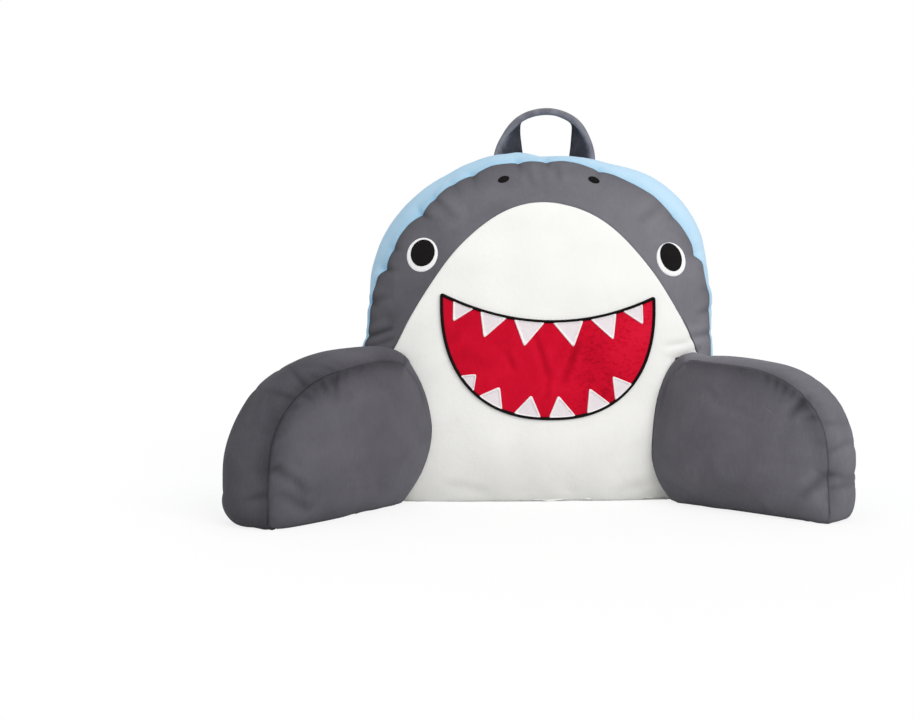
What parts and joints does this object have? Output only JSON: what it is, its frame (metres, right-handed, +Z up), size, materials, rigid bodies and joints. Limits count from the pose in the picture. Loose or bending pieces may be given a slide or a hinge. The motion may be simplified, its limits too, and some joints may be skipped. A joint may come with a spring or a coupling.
{
  "type": "plush shark backrest pillow",
  "caption": "Stuffed backrest pillow with a shark face, an arched body, two splayed arms that swing and a soft carry handle on top.",
  "frame": {"origin": "centre of the bounding box on the plane that the pillow stands on", "axes": "+Z up, the shark's face looks along -Y, +X to the right of someone who faces it"},
  "size_m": [0.61, 0.3057, 0.4319],
  "materials": {
    "stuffing": "matte",
    "belly": "matte",
    "hood": "matte",
    "blue_cover": "matte",
    "arm_cover": "matte",
    "handle": "matte",
    "mouth_red": "matte",
    "black_thread": "satin",
    "white_thread": "satin"
  },
  "bodies": {
    "body": {"body_stuffing": "stuffing", "belly_panel": "belly", "hood_panel": "hood", "body_gusset": "blue_cover", "back_panel": "blue_cover", "body_base": "blue_cover", "mouth_patch": "mouth_red", "mouth_outline": "black_thread", "left_eye_pupil": "black_thread", "right_eye_pupil": "black_thread", "left_nostril": "black_thread", "right_nostril": "black_thread", "left_eye_white": "white_thread", "right_eye_white": "white_thread", "upper_tooth_left_1": "white_thread", "upper_tooth_left_2": "white_thread", "upper_tooth_left_3": "white_thread", "upper_tooth_right_1": "white_thread", "upper_tooth_right_2": "white_thread", "upper_tooth_right_3": "white_thread", "lower_tooth_left_1": "white_thread", "lower_tooth_left_2": "white_thread", "lower_tooth_left_3": "white_thread", "lower_tooth_right_1": "white_thread", "lower_tooth_right_2": "white_thread", "lower_tooth_right_3": "white_thread"},
    "left_arm": {"left_arm_stuffing": "stuffing", "left_arm_inner_panel": "arm_cover", "left_arm_outer_panel": "arm_cover", "left_arm_gusset": "arm_cover", "left_arm_base": "arm_cover"},
    "right_arm": {"right_arm_stuffing": "stuffing", "right_arm_inner_panel": "arm_cover", "right_arm_outer_panel": "arm_cover", "right_arm_gusset": "arm_cover", "right_arm_base": "arm_cover"},
    "handle": {"handle_strap": "handle"}
  },
  "joints": [
    {"name": "left_arm_swing", "type": "hinge", "parent": "body", "child": "left_arm", "pos_m": [-0.1577, -0.01271, 0], "axis": [0, 0, 1], "range_deg": [-8, 25], "stiffness_Nm_per_rad": 2},
    {"name": "right_arm_swing", "type": "hinge", "parent": "body", "child": "right_arm", "pos_m": [0.1577, -0.01271, 0], "axis": [0, 0, 1], "range_deg": [-25, 8], "stiffness_Nm_per_rad": 2},
    {"name": "handle_flop", "type": "hinge", "parent": "body", "child": "handle", "pos_m": [0, 0.10715, 0.37282], "axis": [1, 0, 0], "range_deg": [-75, 40], "stiffness_Nm_per_rad": 0.02}
  ]
}
